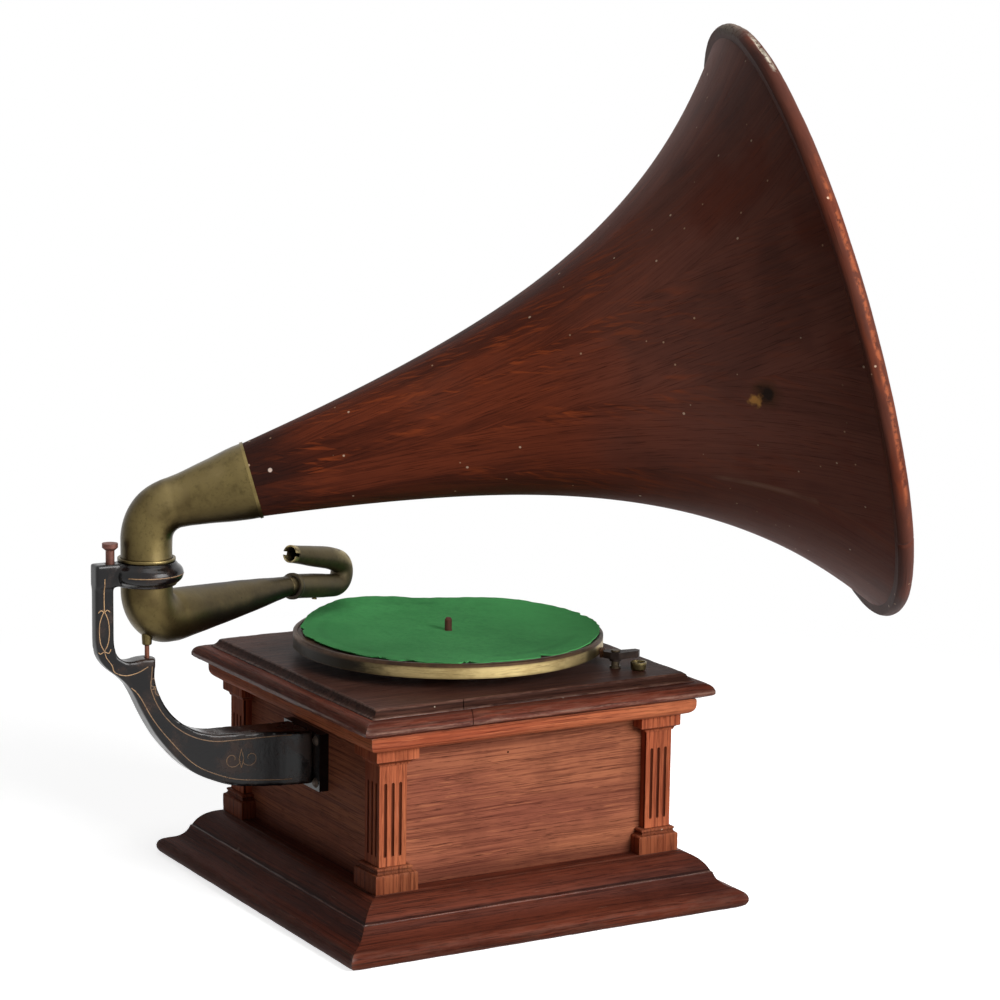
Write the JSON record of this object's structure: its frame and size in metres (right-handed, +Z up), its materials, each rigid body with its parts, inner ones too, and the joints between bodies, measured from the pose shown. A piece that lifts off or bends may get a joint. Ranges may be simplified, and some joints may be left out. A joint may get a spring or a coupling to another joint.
{
  "type": "horn gramophone",
  "caption": "Spring-driven disc gramophone: square fluted wooden cabinet, turntable, rear cast bracket, taper tone arm with gooseneck and flared wooden horn on a brass elbow.",
  "frame": {"origin": "centre of the base on the floor, on the turntable's axis", "axes": "+Z up along the spindle; the front faces -Y, the bracket is on the back at +Y, the crank on the right at +X"},
  "size_m": [0.8174, 0.768, 0.8634],
  "materials": {
    "mahogany_stained_oak": "satin varnish, worn",
    "plain_wood": "matt",
    "blued_steel": "oiled",
    "worn_brass": "tarnished",
    "fibre": "matt",
    "dark_metal": "worn and rusty",
    "black_enamel": "glossy enamel, worn",
    "green_felt": "felt",
    "horn_wood": "glossy varnish"
  },
  "bodies": {
    "cabinet": {"plinth_mouldings": "mahogany_stained_oak", "bottom_board": "plain_wood", "front_panel": "mahogany_stained_oak", "back_panel": "mahogany_stained_oak", "left_panel": "mahogany_stained_oak", "right_panel": "mahogany_stained_oak", "corner_posts": "mahogany_stained_oak", "post_capitals": "mahogany_stained_oak", "post_bases": "mahogany_stained_oak", "cornice_mouldings": "mahogany_stained_oak", "lid_mouldings": "mahogany_stained_oak", "motor_board": "mahogany_stained_oak", "motor_plates": "blued_steel", "motor_pillars": "blued_steel", "motor_bolts": "blued_steel", "motor_spacers": "fibre", "pawl_stud": "blued_steel", "pawl_spring": "blued_steel", "governor_bearings": "blued_steel", "lever_stud": "blued_steel", "winding_bearing": "blued_steel", "escutcheon": "worn_brass", "brake_stud": "dark_metal", "needle_cup": "worn_brass", "bracket_plate": "black_enamel", "bracket_screws": "blued_steel", "back_bracket": "black_enamel", "pivot_pin": "dark_metal"},
    "turntable": {"turntable_platter": "dark_metal", "rim_band": "worn_brass", "turntable_felt": "green_felt", "spindle": "blued_steel", "worm_wheel": "fibre"},
    "barrel": {"spring_barrel": "worn_brass", "barrel_cover": "worn_brass", "mainspring": "blued_steel"},
    "arbor": {"barrel_arbor": "blued_steel", "ratchet_wheel": "blued_steel"},
    "pawl": {"ratchet_pawl": "blued_steel"},
    "intermediate": {"intermediate_gear": "worn_brass"},
    "governor": {"governor_shaft": "blued_steel", "governor_weights": "worn_brass", "governor_disc": "worn_brass"},
    "regulator_lever": {"friction_lever": "blued_steel", "friction_pad": "fibre"},
    "speed_knob": {"speed_screw": "worn_brass"},
    "crank": {"winding_shaft": "blued_steel", "crank_rod": "dark_metal", "grip_washer": "worn_brass"},
    "grip": {"crank_grip": "plain_wood"},
    "brake": {"brake_lever": "dark_metal", "brake_pad": "fibre"},
    "thumb_screw": {"thumbscrew": "dark_metal"},
    "arm": {"tone_arm": "worn_brass"},
    "neck": {"gooseneck": "worn_brass", "gooseneck_screw": "worn_brass"},
    "horn": {"horn_elbow": "worn_brass", "horn_ferrule": "worn_brass", "horn": "horn_wood", "horn_roll": "horn_wood"}
  },
  "joints": [
    {"name": "turntable_spin", "type": "hinge", "parent": "cabinet", "child": "turntable", "pos_m": [0, 0, 0.25], "axis": [0, 0, 1], "continuous": true},
    {"name": "barrel_spin", "type": "hinge", "parent": "cabinet", "child": "barrel", "pos_m": [0.087, 0, 0.175], "axis": [0, 0, 1], "continuous": true},
    {"name": "intermediate_spin", "type": "hinge", "parent": "cabinet", "child": "intermediate", "pos_m": [0.033, 0, 0.19], "axis": [0, 0, 1], "continuous": true},
    {"name": "governor_spin", "type": "hinge", "parent": "cabinet", "child": "governor", "pos_m": [-0.0245, 0, 0.1565], "axis": [0, 1, 0], "continuous": true},
    {"name": "crank_turn", "type": "hinge", "parent": "cabinet", "child": "crank", "pos_m": [0.18, 0, 0.13985], "axis": [1, 0, 0], "continuous": true},
    {"name": "arbor_wind", "type": "hinge", "parent": "cabinet", "child": "arbor", "pos_m": [0.087, 0, 0.15], "axis": [0, 0, 1], "continuous": true},
    {"name": "grip_spin", "type": "hinge", "parent": "crank", "child": "grip", "pos_m": [0.265, 0, 0.04485], "axis": [1, 0, 0], "continuous": true},
    {"name": "pawl_lift", "type": "hinge", "parent": "cabinet", "child": "pawl", "pos_m": [0.067, 0.0168, 0.2125], "axis": [0, 0, 1], "range_deg": [0, 5]},
    {"name": "speed_turn", "type": "hinge", "parent": "cabinet", "child": "speed_knob", "pos_m": [0.12, -0.128, 0.23], "axis": [0, 0, 1], "range_deg": [-60, 60]},
    {"name": "regulator_turn", "type": "hinge", "parent": "cabinet", "child": "regulator_lever", "pos_m": [0.04, -0.086, 0.215], "axis": [0, 0, 1], "range_deg": [-0.7, 0.7]},
    {"name": "brake_turn", "type": "hinge", "parent": "cabinet", "child": "brake", "pos_m": [-0.122, -0.121, 0.245], "axis": [0, 0, 1], "range_deg": [-20, 0]},
    {"name": "thumb_turn", "type": "hinge", "parent": "cabinet", "child": "thumb_screw", "pos_m": [0, 0.3635, 0.36], "axis": [0, 0, 1], "continuous": true},
    {"name": "arm_swing", "type": "hinge", "parent": "cabinet", "child": "arm", "pos_m": [0, 0.3265, 0.3], "axis": [0, 0, 1], "range_deg": [-25, 20]},
    {"name": "neck_turn", "type": "hinge", "parent": "arm", "child": "neck", "pos_m": [0.08917, 0.13527, 0.2985], "axis": [0.4185, -0.8975, -0.1392], "range_deg": [0, 110]},
    {"name": "horn_swivel", "type": "hinge", "parent": "cabinet", "child": "horn", "pos_m": [0, 0.3265, 0.37], "axis": [0, 0, 1], "range_deg": [-90, 90]}
  ],
  "couplings": [
    {"joint": "barrel_spin", "follows": "turntable_spin", "ratio": 0.044444},
    {"joint": "intermediate_spin", "follows": "turntable_spin", "ratio": -0.22222},
    {"joint": "governor_spin", "follows": "turntable_spin", "ratio": -10},
    {"joint": "arbor_wind", "follows": "crank_turn", "ratio": -0.375},
    {"joint": "regulator_turn", "follows": "speed_turn", "ratio": 0.0114}
  ]
}
